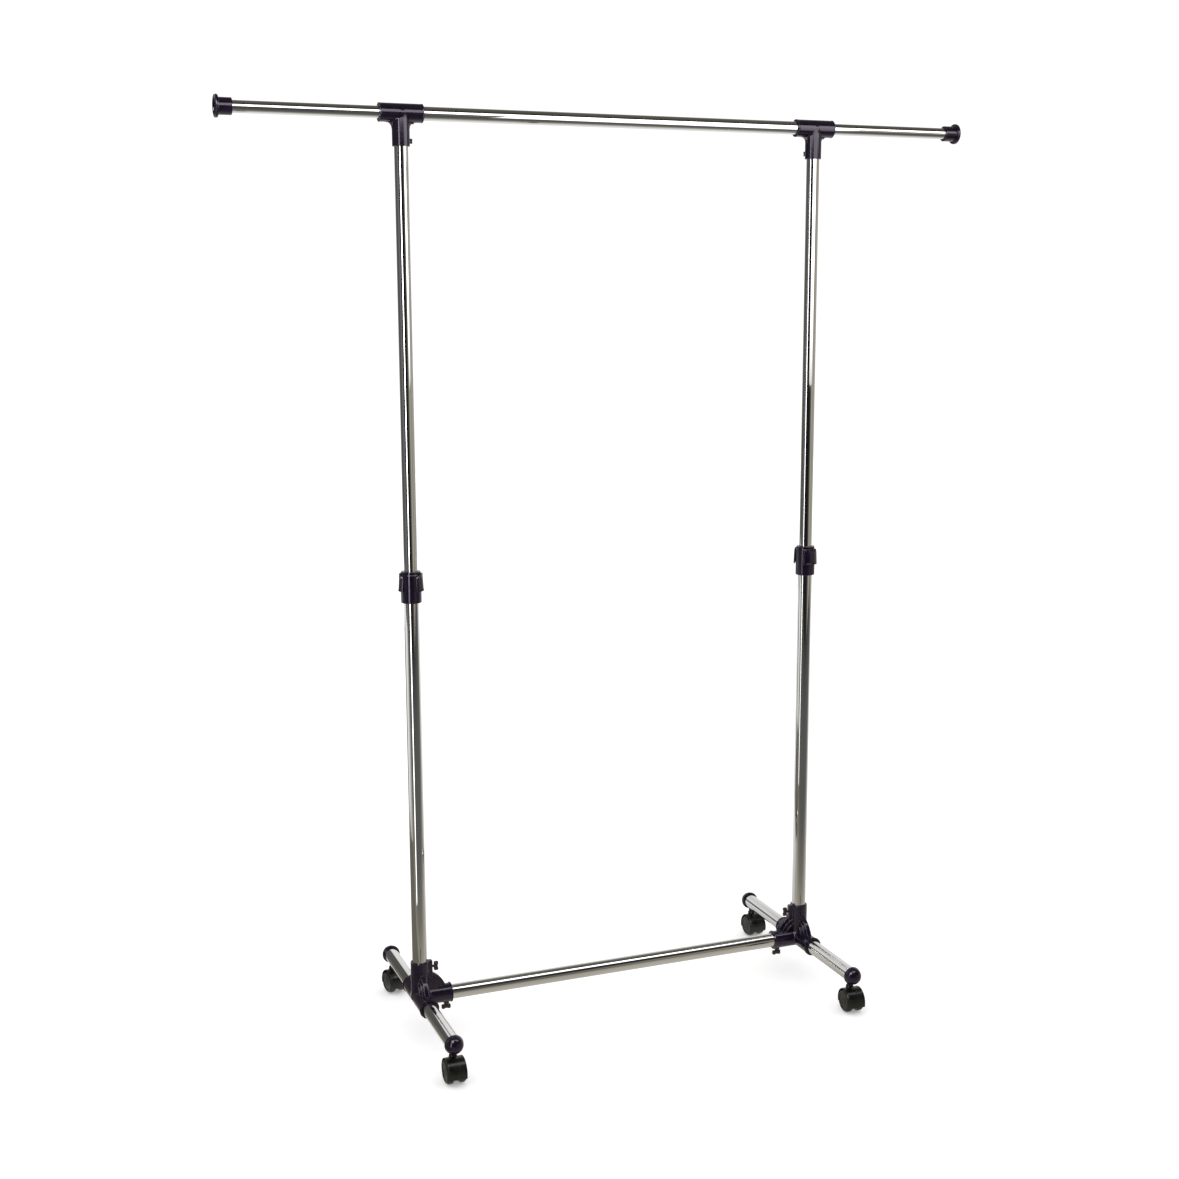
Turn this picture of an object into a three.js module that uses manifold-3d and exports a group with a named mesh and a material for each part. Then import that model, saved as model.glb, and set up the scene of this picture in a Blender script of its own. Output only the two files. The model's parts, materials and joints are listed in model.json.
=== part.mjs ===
// Garment rail on casters: two telescopic posts on a wheeled base carry a hanging rail whose ends pull out.
// Millimetres, +Z up, +X along the rail, origin on the floor under the middle of the base.

import * as THREE from 'three';
import { mergeVertices } from 'three/addons/utils/BufferGeometryUtils.js';
import Module from 'manifold-3d';

const wasm = await Module();
wasm.setup();

// Driving dimensions.
const POST_SPACING = 730;
const RAIL_HEIGHT = 1527;
const RAIL_SPAN = 1304;
const CAP_SPACING = 400;
const BASE_HEIGHT = 64.5;
const BASE_TUBE = 25;
const POST_TUBE = 22;
const ROD_TUBE = 19;
const TUBE_WALL = 1;
const WHEEL_DIAMETER = 40;

// Gaps: between a tube and the moulding pushed over it, between fixed neighbours, and at running fits.
const SOCKET_GAP = 0.3;
const SEAT_GAP = 0.3;
const RUNNING_GAP = 0.3;

const TUBE_SIDES = 16;
const SMALL_SIDES = 10;
const OVERSHOOT = 1;

// Heights and places that several pieces share.
const POST_X = POST_SPACING / 2;
const COLLAR_BOTTOM = 751;
const COLLAR_HEIGHT = 52;
const COLLAR_SOCKET_DEPTH = 33.5;
const LOWER_POST_TOP = COLLAR_BOTTOM + COLLAR_SOCKET_DEPTH;
const UPPER_POST_LENGTH = 800;
const HUB_WEB = 16;
const TEE_HALF_LENGTH = 35;
const TEE_DROP = 51;
const TEE_POST_SEAT = 19;
const STEM_INSET = 9;
const STEM_REACH = CAP_SPACING / 2 - STEM_INSET;
const CAP_RIM = 2.5;

// ---------------------------------------------------------------- solids

function toSolid(geometry) {
  const bare = geometry.index ? geometry.clone() : geometry;
  bare.deleteAttribute('normal');
  bare.deleteAttribute('uv');
  const merged = mergeVertices(bare, 1e-4);
  const corners = [];
  for (let i = 0; i < merged.index.count; i += 3) {
    const [a, b, c] = [0, 1, 2].map((k) => merged.index.getX(i + k));
    if (a !== b && b !== c && c !== a) corners.push(a, b, c);
  }
  return new wasm.Manifold(new wasm.Mesh({
    numProp: 3,
    vertProperties: new Float32Array(merged.attributes.position.array),
    triVerts: new Uint32Array(corners),
  }));
}

function toGeometry(solid) {
  const mesh = solid.getMesh();
  const geometry = new THREE.BufferGeometry();
  geometry.setAttribute('position', new THREE.BufferAttribute(new Float32Array(mesh.vertProperties), 3));
  geometry.setIndex(new THREE.BufferAttribute(new Uint32Array(mesh.triVerts), 1));
  return geometry;
}

// A solid of revolution about +Z. The outline is [radius, z] pairs, anticlockwise in the radius-z plane.
function turned(outline, sides = TUBE_SIDES) {
  const points = outline.map(([radius, z]) => new THREE.Vector2(radius, z));
  return new THREE.LatheGeometry(points, sides).rotateX(Math.PI / 2);
}

// A round bar along +Z from z = 0.
function bar(radius, length, sides = TUBE_SIDES) {
  return turned([[0, 0], [radius, 0], [radius, length], [0, length]], sides);
}

function ring(outer, inner, length, sides = TUBE_SIDES) {
  return turned([[inner, 0], [outer, 0], [outer, length], [inner, length], [inner, 0]], sides);
}

function block([x0, x1], [y0, y1], [z0, z1]) {
  return new THREE.BoxGeometry(x1 - x0, y1 - y0, z1 - z0)
    .translate((x0 + x1) / 2, (y0 + y1) / 2, (z0 + z1) / 2);
}

// A flat outline in the X-Z plane, given a thickness centred on y = 0.
function plate(shape, thickness, curveSegments = 8) {
  return new THREE.ExtrudeGeometry(shape, { depth: thickness, bevelEnabled: false, curveSegments })
    .translate(0, 0, -thickness / 2)
    .rotateX(Math.PI / 2);
}

const alongX = (geometry) => geometry.rotateY(Math.PI / 2);
const alongY = (geometry) => geometry.rotateX(-Math.PI / 2);

// Two limits in rising order.
const between = (a, b) => (a < b ? [a, b] : [b, a]);

function join(...geometries) {
  return geometries.map(toSolid).reduce((whole, part) => whole.add(part));
}

// A round cutter along +Z that starts a little below z = 0, to break cleanly through the surface there.
function bore(radius, length) {
  return bar(radius, length + OVERSHOOT).translate(0, 0, -OVERSHOOT);
}

function cut(solid, ...geometries) {
  return geometries.map(toSolid).reduce((rest, part) => rest.subtract(part), solid);
}

// ------------------------------------------------------------- materials

const FINISHES = {
  chrome: { color: 0xd9d8d2, roughness: 0.1, metalness: 1 },
  plastic: { color: 0x15101f, roughness: 0.25, metalness: 0 },
  caster: { color: 0x10110e, roughness: 0.45, metalness: 0 },
  screw: { color: 0x1c1414, roughness: 0.35, metalness: 0.4 },
  steel: { color: 0xb4b4b0, roughness: 0.3, metalness: 1 },
};

function piece(name, shape, finish) {
  const geometry = shape.isBufferGeometry ? shape : toGeometry(shape);
  const mesh = new THREE.Mesh(geometry, new THREE.MeshStandardMaterial(FINISHES[finish]));
  mesh.name = name;
  return mesh;
}

function placed(object, x, y, z) {
  object.position.set(x, y, z);
  return object;
}

// ----------------------------------------------------------------- tubes

function pipe(diameter, length) {
  return ring(diameter / 2, diameter / 2 - TUBE_WALL, length);
}

// The foot tube runs along Y through the hub, with a hole under each end for the caster's stem.
const FOOT_TUBE_HALF = CAP_SPACING / 2 - CAP_RIM - SEAT_GAP;
const STEM_HOLE = 4.6;

function footTube(name) {
  let solid = toSolid(alongY(pipe(BASE_TUBE, 2 * FOOT_TUBE_HALF).translate(0, 0, -FOOT_TUBE_HALF)));
  for (const end of [-1, 1]) {
    const drill = bar(STEM_HOLE, BASE_TUBE / 2, SMALL_SIDES);
    solid = cut(solid, drill.translate(0, end * STEM_REACH, -0.6 * BASE_TUBE));
  }
  return piece(name, solid, 'chrome');
}

function crossbar() {
  const half = POST_X - HUB_WEB - SEAT_GAP;
  return piece('crossbar', alongX(pipe(BASE_TUBE, 2 * half).translate(0, 0, -half)), 'chrome');
}

function lowerPost(name) {
  const bottom = HUB_WEB + SEAT_GAP;
  const length = LOWER_POST_TOP - BASE_HEIGHT - bottom;
  return piece(name, pipe(BASE_TUBE, length).translate(0, 0, bottom), 'chrome');
}

function upperPost(name) {
  return piece(name, pipe(POST_TUBE, UPPER_POST_LENGTH).translate(0, 0, -UPPER_POST_LENGTH), 'chrome');
}

// The rail tube ends just inside the outer mouth of each tee. A hole under it at each takes the rail screw.
const RAIL_SCREW_OFFSET = 18.5;
const RAIL_SCREW_HOLE = 1.8;
const RAIL_HALF = POST_X + TEE_HALF_LENGTH - 2;

function hangingRail() {
  let solid = toSolid(alongX(pipe(POST_TUBE, 2 * RAIL_HALF).translate(0, 0, -RAIL_HALF)));
  for (const side of [-1, 1]) {
    const drill = bar(RAIL_SCREW_HOLE, POST_TUBE / 2, SMALL_SIDES);
    solid = cut(solid, drill.translate(side * POST_X + RAIL_SCREW_OFFSET, 0, -0.8 * POST_TUBE));
  }
  return piece('hanging_rail', solid, 'chrome');
}

// ------------------------------------------------- base hub and its screws

const HUB_RADIUS = 15.75;
const HUB_RIM = 17;
const HUB_RIM_WIDTH = 2.5;
const HUB_TOP = 63.5;
const HUB_CROSS = 54;
const HUB_SLEEVE_HALF = 57;
const FAN_STEPS = [[46.5, 7], [39.5, 12], [32.5, 17]];
const POST_BOSS_REACH = 21.5;
const POST_BOSS_BOTTOM = 30;
const CROSS_BOSS_REACH = 19.5;
const BOSS_HALF = 4.6;
const POST_SCREW_HEIGHT = 51.5;
const CROSS_SCREW_OFFSET = 45;
const SCREW_RADIUS = 2;
const POST_SCREW_HEAD = 25;
const CROSS_SCREW_HEAD = 21.8;

// A quarter disc in the X-Z plane that steps down in thickness towards its rim.
function fan() {
  return FAN_STEPS.map(([radius, thickness]) => {
    const quarter = new THREE.Shape();
    quarter.moveTo(0, 0);
    quarter.lineTo(radius, 0);
    quarter.absarc(0, 0, radius, 0, Math.PI / 2, false);
    quarter.closePath();
    return plate(quarter, thickness, 6);
  });
}

// In the hub's own frame +X points to the other hub.
function hub(name) {
  const socket = BASE_TUBE / 2 + SOCKET_GAP;
  const hole = SCREW_RADIUS + RUNNING_GAP;
  const fans = [0, Math.PI / 2, -Math.PI / 2].flatMap((turn) => fan().map((step) => step.rotateZ(turn)));
  const sleeve = alongY(bar(HUB_RADIUS, 2 * HUB_SLEEVE_HALF).translate(0, 0, -HUB_SLEEVE_HALF));
  const rims = [-HUB_SLEEVE_HALF, HUB_SLEEVE_HALF - HUB_RIM_WIDTH]
    .map((y) => alongY(bar(HUB_RIM, HUB_RIM_WIDTH).translate(0, 0, y)));
  const body = join(
    bar(HUB_RADIUS, HUB_TOP),
    alongX(bar(HUB_RADIUS, HUB_CROSS)),
    alongX(bar(HUB_RIM, HUB_RIM_WIDTH).translate(0, 0, HUB_CROSS - HUB_RIM_WIDTH)),
    sleeve,
    ...rims,
    ...fans,
    block([0, POST_BOSS_REACH], [-BOSS_HALF, BOSS_HALF], [POST_BOSS_BOTTOM, HUB_TOP]),
    block([-BOSS_HALF, BOSS_HALF], [-BOSS_HALF, BOSS_HALF], [-CROSS_BOSS_REACH, 0])
      .translate(CROSS_SCREW_OFFSET, 0, 0),
  );
  const hollow = cut(
    body,
    alongY(bar(socket, 3 * HUB_SLEEVE_HALF).translate(0, 0, -1.5 * HUB_SLEEVE_HALF)),
    bar(socket, HUB_TOP).translate(0, 0, HUB_WEB),
    alongX(bar(socket, HUB_CROSS).translate(0, 0, HUB_WEB)),
    alongX(bar(hole, BASE_TUBE, SMALL_SIDES)).translate(0, 0, POST_SCREW_HEIGHT),
    bar(hole, BASE_TUBE, SMALL_SIDES).translate(CROSS_SCREW_OFFSET, 0, -BASE_TUBE),
  );
  return piece(name, hollow, 'plastic');
}

// A thumbscrew along +Z: its tip is at z = 0, and two round lobes on a bridge make the grip.
function thumbScrew(name, { shank, reach, lobe, spread, thickness }) {
  const bridge = 0.6 * lobe;
  const head = join(
    bar(shank, reach + thickness, SMALL_SIDES),
    bar(lobe, thickness, SMALL_SIDES).translate(spread, 0, reach),
    bar(lobe, thickness, SMALL_SIDES).translate(-spread, 0, reach),
    block([-spread, spread], [-bridge, bridge], [reach, 0.9 * thickness + reach]),
  );
  return piece(name, head, 'screw');
}

function hubScrews(side, inward) {
  const tip = BASE_TUBE / 2 + SEAT_GAP;
  const size = { shank: SCREW_RADIUS, lobe: 3.3, spread: 4.9, thickness: 7 };
  const post = thumbScrew(`post_screw_${side}`, { ...size, reach: POST_SCREW_HEAD - tip });
  post.rotation.set(0, inward * Math.PI / 2, 0);
  const cross = thumbScrew(`crossbar_screw_${side}`, { ...size, reach: CROSS_SCREW_HEAD - tip });
  cross.rotation.set(Math.PI, 0, 0);
  return [
    placed(post, inward * tip, 0, POST_SCREW_HEIGHT),
    placed(cross, inward * CROSS_SCREW_OFFSET, 0, -tip),
  ];
}

// -------------------------------------------------------------- foot caps

// A ball-fronted cap along +Z, with a plug inside the tube that holds the caster's stem upright.
const CAP_RADIUS = 15.8;
const CAP_BULGE = 15;
const CAP_SIDES = 18;
const DOME_STEPS = 5;
const PLUG_LENGTH = 24;
const STEM_RADIUS = 3.9;
const STEM_TOP = 7.5;

function footCap(name) {
  const plug = BASE_TUBE / 2 - TUBE_WALL - SOCKET_GAP;
  const dome = [];
  for (let i = 0; i < DOME_STEPS; i += 1) {
    const angle = (i / DOME_STEPS) * (Math.PI / 2);
    dome.push([CAP_RADIUS * Math.cos(angle), CAP_BULGE * Math.sin(angle)]);
  }
  const outline = [
    [0, -PLUG_LENGTH], [plug, -PLUG_LENGTH], [plug, -CAP_RIM],
    [CAP_RADIUS, -CAP_RIM], ...dome, [0, CAP_BULGE],
  ];
  const solid = toSolid(alongY(turned(outline, CAP_SIDES)));
  const socket = bar(STEM_RADIUS + RUNNING_GAP, BASE_TUBE, SMALL_SIDES)
    .translate(0, -STEM_INSET, STEM_TOP + SEAT_GAP - BASE_TUBE);
  return piece(name, cut(solid, socket), 'plastic');
}

// ---------------------------------------------------------------- casters

// A twin-wheel caster in its own frame. It swivels about Z, with the origin on the floor, and trails to -Y.
const TRAIL = 8;
const AXLE_HEIGHT = WHEEL_DIAMETER / 2;
const AXLE_RADIUS = 2.4;
const SPINE_HALF = 4.1;
const COWL_HALF = 15.5;
const COWL_INNER = AXLE_HEIGHT + 0.8;
const COWL_OUTER = COWL_INNER + 1.5;
const COWL_START = THREE.MathUtils.degToRad(-20);
const COWL_END = THREE.MathUtils.degToRad(200);
const COWL_STEPS = 12;
const SPINE_DISC = 13.5;
const NECK_SIDES = 14;
const NECK_RADIUS = 5.2;
const NECK_TOP = BASE_HEIGHT - BASE_TUBE / 2 - 0.4;
const NECK_BOTTOM = 35;
const NECK_FLOOR = 40.2;

// Across the axle: angle 0 points to the trailing side and a quarter turn points up.
function acrossAxle(shape, halfWidth, curveSegments) {
  return plate(shape, 2 * halfWidth, curveSegments)
    .rotateZ(-Math.PI / 2)
    .translate(0, -TRAIL, AXLE_HEIGHT);
}

function cowl() {
  const arch = new THREE.Shape();
  arch.absarc(0, 0, COWL_OUTER, COWL_START, COWL_END, false);
  arch.absarc(0, 0, COWL_INNER, COWL_END, COWL_START, true);
  arch.closePath();
  return acrossAxle(arch, COWL_HALF, COWL_STEPS);
}

function spine() {
  const web = new THREE.Shape();
  web.moveTo(0, 0);
  web.absarc(0, 0, COWL_OUTER - 0.7, COWL_START, COWL_END, false);
  web.closePath();
  const hubDisc = new THREE.Shape();
  hubDisc.absarc(0, 0, SPINE_DISC, 0, 2 * Math.PI, false);
  return [acrossAxle(web, SPINE_HALF, COWL_STEPS), acrossAxle(hubDisc, SPINE_HALF, 2 * COWL_STEPS)];
}

// The neck round the stem, cut below to the inside of the cowl so that it clears the wheels.
function neck() {
  const wheelSpace = alongX(bar(COWL_INNER, 2 * COWL_HALF).translate(0, 0, -COWL_HALF));
  const column = bar(NECK_RADIUS, NECK_TOP - NECK_BOTTOM, NECK_SIDES).translate(0, 0, NECK_BOTTOM);
  return cut(toSolid(column), wheelSpace.translate(0, -TRAIL, AXLE_HEIGHT));
}

function casterHood(name) {
  const body = join(cowl(), ...spine()).add(neck());
  const stemHole = bar(STEM_RADIUS + SEAT_GAP, BASE_TUBE, SMALL_SIDES).translate(0, 0, NECK_FLOOR);
  const axleHole = alongX(bar(AXLE_RADIUS + SEAT_GAP, 2 * COWL_HALF, SMALL_SIDES).translate(0, 0, -COWL_HALF))
    .translate(0, -TRAIL, AXLE_HEIGHT);
  return piece(name, cut(body, stemHole, axleHole), 'caster');
}

function casterStem(name) {
  const bottom = NECK_FLOOR + SEAT_GAP;
  const length = BASE_HEIGHT + STEM_TOP - bottom;
  return piece(name, bar(STEM_RADIUS, length, SMALL_SIDES).translate(0, 0, bottom), 'steel');
}

const AXLE_HALF = 14;
const WHEEL_SIDES = 20;
const WHEEL_INNER = SPINE_HALF + 0.6;
const WHEEL_OUTER = 17;
const BORE_DEPTH = AXLE_HALF + 0.4;
const DISH_DEPTH = 1;
const WHEEL_RIM = 4;
const TREAD_SHOULDER = 3;

function casterAxle(name) {
  const rod = alongX(bar(AXLE_RADIUS, 2 * AXLE_HALF, SMALL_SIDES).translate(0, 0, -AXLE_HALF));
  return piece(name, rod.translate(0, -TRAIL, AXLE_HEIGHT), 'steel');
}

// A wheel with a blind bore on its inner side. Its tread stands on a flat of the outline, whose number of
// sides has to be a multiple of four.
function casterWheel(name, side) {
  const tread = AXLE_HEIGHT / Math.cos(Math.PI / WHEEL_SIDES);
  const hole = AXLE_RADIUS + RUNNING_GAP;
  const outline = [
    [0, DISH_DEPTH - WHEEL_OUTER],
    [tread - WHEEL_RIM - 2 * DISH_DEPTH, DISH_DEPTH - WHEEL_OUTER],
    [tread - WHEEL_RIM, -WHEEL_OUTER],
    [tread, TREAD_SHOULDER - WHEEL_OUTER],
    [tread, -TREAD_SHOULDER - WHEEL_INNER],
    [tread - TREAD_SHOULDER, -WHEEL_INNER],
    [hole, -WHEEL_INNER],
    [hole, -BORE_DEPTH],
    [0, -BORE_DEPTH],
  ];
  const wheel = turned(outline, WHEEL_SIDES).rotateZ(Math.PI / WHEEL_SIDES);
  const facing = alongX(side > 0 ? wheel.rotateX(Math.PI) : wheel);
  return placed(piece(name, facing, 'caster'), 0, -TRAIL, AXLE_HEIGHT);
}

function caster(place) {
  const group = new THREE.Group();
  group.add(casterHood(`caster_hood_${place}`), casterStem(`caster_stem_${place}`));
  group.add(casterAxle(`caster_axle_${place}`));
  group.add(casterWheel(`caster_wheel_${place}_a`, -1), casterWheel(`caster_wheel_${place}_b`, 1));
  return group;
}

// --------------------------------------------------------- height collars

const COLLAR_RADIUS = 17;
const COLLAR_RIM = 16.2;
const GRIP_RADIUS = 13.2;
const GRIP_FLOOR = 35;
const GRIP_LENGTH = 14;
const LEVER_INNER = 17.7;
const LEVER_OUTER = 19.9;
const LEVER_BOTTOM = 19.5;
const LEVER_TOP = 48.5;
const LEVER_HALF_WIDTH = 15;
const HINGE_HEIGHT = 44;
const HINGE_REACH = 15.7;
const HINGE_PIN = 1.1;
const EAR_NEAR = 4.2;
const EAR_FAR = 8;
const EAR_HALF_DEPTH = 1.1;
const EAR_HALF_HEIGHT = 1.8;
const POCKET_HALF_HEIGHT = 2.5;
const STUB_LENGTH = 2;
const STUB_REACH = 0.6;
const LEVER_SHOULDER = 9;
const LEVER_FLARE = THREE.MathUtils.degToRad(3.6);

// The pockets for a lever's two ears, with the blind holes between them for its pivot stubs.
function hingePockets(front) {
  const depth = between(front * (HINGE_REACH - EAR_HALF_DEPTH - SEAT_GAP), front * LEVER_OUTER);
  const height = [HINGE_HEIGHT - POCKET_HALF_HEIGHT, HINGE_HEIGHT + POCKET_HALF_HEIGHT];
  const ears = [-1, 1].map((hand) => {
    const width = between(hand * (EAR_NEAR - SEAT_GAP), hand * (EAR_FAR + SEAT_GAP));
    return block(depth, width, height);
  });
  const stubs = alongY(bar(HINGE_PIN + RUNNING_GAP, 2 * EAR_NEAR, SMALL_SIDES).translate(0, 0, -EAR_NEAR));
  return [...ears, stubs.translate(front * HINGE_REACH, 0, HINGE_HEIGHT)];
}

function collar(name) {
  const edge = 1.2;
  const rim = COLLAR_HEIGHT - 4.5;
  const outline = [
    [0, 0], [COLLAR_RADIUS - edge, 0], [COLLAR_RADIUS, edge], [COLLAR_RADIUS, rim - 1],
    [COLLAR_RIM, rim], [COLLAR_RIM, COLLAR_HEIGHT - edge],
    [COLLAR_RIM - edge, COLLAR_HEIGHT], [0, COLLAR_HEIGHT],
  ];
  const body = cut(
    toSolid(turned(outline)),
    bore(BASE_TUBE / 2 + SOCKET_GAP, COLLAR_SOCKET_DEPTH + SEAT_GAP),
    bore(POST_TUBE / 2 + SEAT_GAP, COLLAR_HEIGHT + OVERSHOOT),
    bar(GRIP_RADIUS + SOCKET_GAP, GRIP_LENGTH + 2 * SEAT_GAP).translate(0, 0, GRIP_FLOOR),
    ...hingePockets(-1),
    ...hingePockets(1),
  );
  return piece(name, body, 'plastic');
}

// The split sleeve inside the collar that the levers let go of.
function gripSleeve(name) {
  const sleeve = ring(GRIP_RADIUS, POST_TUBE / 2 + RUNNING_GAP, GRIP_LENGTH);
  const split = block([GRIP_RADIUS / 2, 2 * GRIP_RADIUS], [-1, 1], [-1, GRIP_LENGTH + 1]);
  return placed(piece(name, cut(toSolid(sleeve), split), 'plastic'), 0, 0, GRIP_FLOOR + SEAT_GAP);
}

// The lever's outline seen from outside: straight sides under an arched top.
function leverArch() {
  const side = LEVER_HALF_WIDTH - LEVER_SHOULDER;
  const top = LEVER_TOP - LEVER_SHOULDER;
  const arch = new THREE.Shape();
  arch.moveTo(-LEVER_HALF_WIDTH, LEVER_BOTTOM);
  arch.lineTo(LEVER_HALF_WIDTH, LEVER_BOTTOM);
  arch.lineTo(LEVER_HALF_WIDTH, top);
  arch.absarc(side, top, LEVER_SHOULDER, 0, Math.PI / 2, false);
  arch.lineTo(-side, LEVER_TOP);
  arch.absarc(-side, top, LEVER_SHOULDER, Math.PI / 2, Math.PI, false);
  arch.closePath();
  return arch;
}

// One of the two ears behind a lever, with its pivot stub pointing inwards.
function leverEar(hand) {
  const depth = [HINGE_REACH - EAR_HALF_DEPTH, LEVER_INNER + 1];
  const width = between(hand * EAR_NEAR, hand * EAR_FAR);
  const ear = block(depth, width, [HINGE_HEIGHT - EAR_HALF_HEIGHT, HINGE_HEIGHT + EAR_HALF_HEIGHT]);
  const stub = alongY(bar(HINGE_PIN, STUB_LENGTH, SMALL_SIDES).translate(0, 0, -STUB_LENGTH / 2));
  return [ear, stub.translate(HINGE_REACH, hand * (EAR_NEAR - STUB_REACH), HINGE_HEIGHT)];
}

// A release lever on the +X side of the collar, in a frame whose origin is on its hinge line.
function releaseLever(name) {
  const mask = plate(leverArch(), LEVER_OUTER, 4).rotateZ(Math.PI / 2).translate(LEVER_OUTER, 0, 0);
  const shell = ring(LEVER_OUTER, LEVER_INNER, LEVER_TOP - LEVER_BOTTOM).translate(0, 0, LEVER_BOTTOM);
  const lever = toSolid(shell).intersect(toSolid(mask)).add(join(...leverEar(-1), ...leverEar(1)));
  return piece(name, toGeometry(lever).translate(-HINGE_REACH, 0, -HINGE_HEIGHT), 'plastic');
}

function heightCollar(side) {
  const group = new THREE.Group();
  group.add(collar(`height_collar_${side}`), gripSleeve(`grip_sleeve_${side}`));
  for (const [word, turn] of [['front', 0], ['back', Math.PI]]) {
    const arm = new THREE.Group();
    const lever = releaseLever(`release_lever_${side}_${word}`);
    lever.rotation.y = -LEVER_FLARE;
    arm.add(placed(lever, HINGE_REACH, 0, HINGE_HEIGHT));
    arm.rotation.z = turn;
    group.add(arm);
  }
  return group;
}

// ------------------------------------------------------------------- tees

const TEE_SLEEVE = 14.5;
const TEE_SOCKET = 14;
const TEE_LIP = 14.9;
const TEE_SCREW_DROP = 42.5;
const TEE_SCREW_RADIUS = 1.5;
const TEE_SCREW_HEAD = 14.6;
const WEB_THICKNESS = 7;
const FILLET_RADIUS = 9;
const MOUTH_LIP = 1.5;
const RAIL_SCREW_HEAD = 2.8;
const RAIL_SCREW_SHAFT = 1.35;
const RAIL_SCREW_THICKNESS = 2;

// The web in the corner between sleeve and socket, with a hollow curved edge.
function cornerWeb() {
  const root = 2;
  const foot = -TEE_SLEEVE - FILLET_RADIUS;
  const tip = TEE_SOCKET + FILLET_RADIUS;
  const corner = new THREE.Shape();
  corner.moveTo(TEE_SOCKET - root, root - TEE_SLEEVE);
  corner.lineTo(TEE_SOCKET - root, foot);
  corner.lineTo(TEE_SOCKET, foot);
  corner.absarc(tip, foot, FILLET_RADIUS, Math.PI, Math.PI / 2, true);
  corner.lineTo(tip, root - TEE_SLEEVE);
  corner.closePath();
  return plate(corner, WEB_THICKNESS, 5);
}

// The tee in a frame at the crossing of rail and post. Its outer mouth, at outward * X, closes round the rod.
function tee(name, outward) {
  const lips = [-TEE_HALF_LENGTH, TEE_HALF_LENGTH - MOUTH_LIP]
    .map((x) => alongX(bar(TEE_LIP, MOUTH_LIP).translate(0, 0, x)));
  const body = join(
    alongX(bar(TEE_SLEEVE, 2 * TEE_HALF_LENGTH).translate(0, 0, -TEE_HALF_LENGTH)),
    ...lips,
    bar(TEE_SOCKET, TEE_DROP).translate(0, 0, -TEE_DROP),
    cornerWeb(),
    cornerWeb().rotateZ(Math.PI),
  );
  const socket = POST_TUBE / 2 + SOCKET_GAP;
  const sleeveHalf = TEE_HALF_LENGTH + OVERSHOOT;
  const sleeveBore = (radius) => alongX(bar(radius, 2 * sleeveHalf).translate(0, 0, -sleeveHalf));
  const smallBore = (radius, length) => bar(radius + RUNNING_GAP, length, SMALL_SIDES);
  const screwHole = alongX(smallBore(TEE_SCREW_RADIUS, 2 * TEE_SOCKET));
  const hollow = cut(
    body,
    sleeveBore(socket).translate(-outward * (MOUTH_LIP + OVERSHOOT), 0, 0),
    sleeveBore(ROD_TUBE / 2 + 0.5),
    bar(socket, TEE_DROP).translate(0, 0, SEAT_GAP - TEE_POST_SEAT - TEE_DROP),
    screwHole.translate(outward > 0 ? -2 * TEE_SOCKET : 0, 0, -TEE_SCREW_DROP),
    smallBore(RAIL_SCREW_SHAFT, TEE_SLEEVE).translate(RAIL_SCREW_OFFSET, 0, -TEE_LIP),
    smallBore(RAIL_SCREW_HEAD, TEE_SLEEVE).translate(RAIL_SCREW_OFFSET, 0, -2 * TEE_SLEEVE),
  );
  return piece(name, hollow, 'plastic');
}

function teeScrew(name, inward) {
  const tip = POST_TUBE / 2 + SEAT_GAP;
  const reach = TEE_SCREW_HEAD - tip;
  const size = { shank: TEE_SCREW_RADIUS, reach, lobe: 1.8, spread: 2.2, thickness: 3.6 };
  const screw = thumbScrew(name, size);
  screw.rotation.set(0, inward * Math.PI / 2, 0);
  return placed(screw, inward * tip, 0, -TEE_SCREW_DROP);
}

function railScrew(name) {
  const top = TUBE_WALL - POST_TUBE / 2 - SEAT_GAP;
  const seat = -TEE_SLEEVE - SEAT_GAP;
  const bottom = seat - RAIL_SCREW_THICKNESS;
  const outline = [
    [0, bottom], [RAIL_SCREW_HEAD / 2, bottom], [RAIL_SCREW_HEAD, (bottom + seat) / 2],
    [RAIL_SCREW_HEAD, seat], [RAIL_SCREW_SHAFT, seat], [RAIL_SCREW_SHAFT, top], [0, top],
  ];
  return placed(piece(name, turned(outline, SMALL_SIDES), 'screw'), RAIL_SCREW_OFFSET, 0, 0);
}

// ---------------------------------------------- sliding rods, bushes and caps

const ROD_LENGTH = 340;
const ROD_CAP_SLEEVE = 13;
const ROD_CAP_DISC = 17.4;
const ROD_CAP_LENGTH = 26;
const DISC_THICKNESS = 5.5;
const ROD_CAP_BORE = 20;
const FACE_SINK = 0.8;
const FACE_MARGIN = 4;

// A bush plugged into the end of a tube at z = 0, with a collar below that slides in a wider tube.
function plugBush(name, guide, plug, [collarLength, plugLength]) {
  const outline = [
    [0, -collarLength], [guide, -collarLength], [guide, -SEAT_GAP], [plug, -SEAT_GAP], [plug, plugLength],
    [0, plugLength],
  ];
  return piece(name, turned(outline), 'plastic');
}

function rodEndCap(name) {
  const socket = ROD_TUBE / 2 + SOCKET_GAP;
  const bottom = ROD_CAP_BORE - ROD_CAP_LENGTH;
  const disc = -DISC_THICKNESS;
  const edge = 1.5;
  const face = ROD_CAP_DISC - FACE_MARGIN;
  const outline = [
    [0, bottom], [socket, bottom], [socket, -ROD_CAP_LENGTH],
    [ROD_CAP_SLEEVE, -ROD_CAP_LENGTH], [ROD_CAP_SLEEVE, disc],
    [ROD_CAP_DISC - edge, disc], [ROD_CAP_DISC, disc + edge], [ROD_CAP_DISC, -edge], [ROD_CAP_DISC - edge, 0],
    [face, 0], [face - FACE_SINK, -FACE_SINK], [0, -FACE_SINK],
  ];
  return piece(name, alongX(turned(outline)), 'plastic');
}

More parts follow.
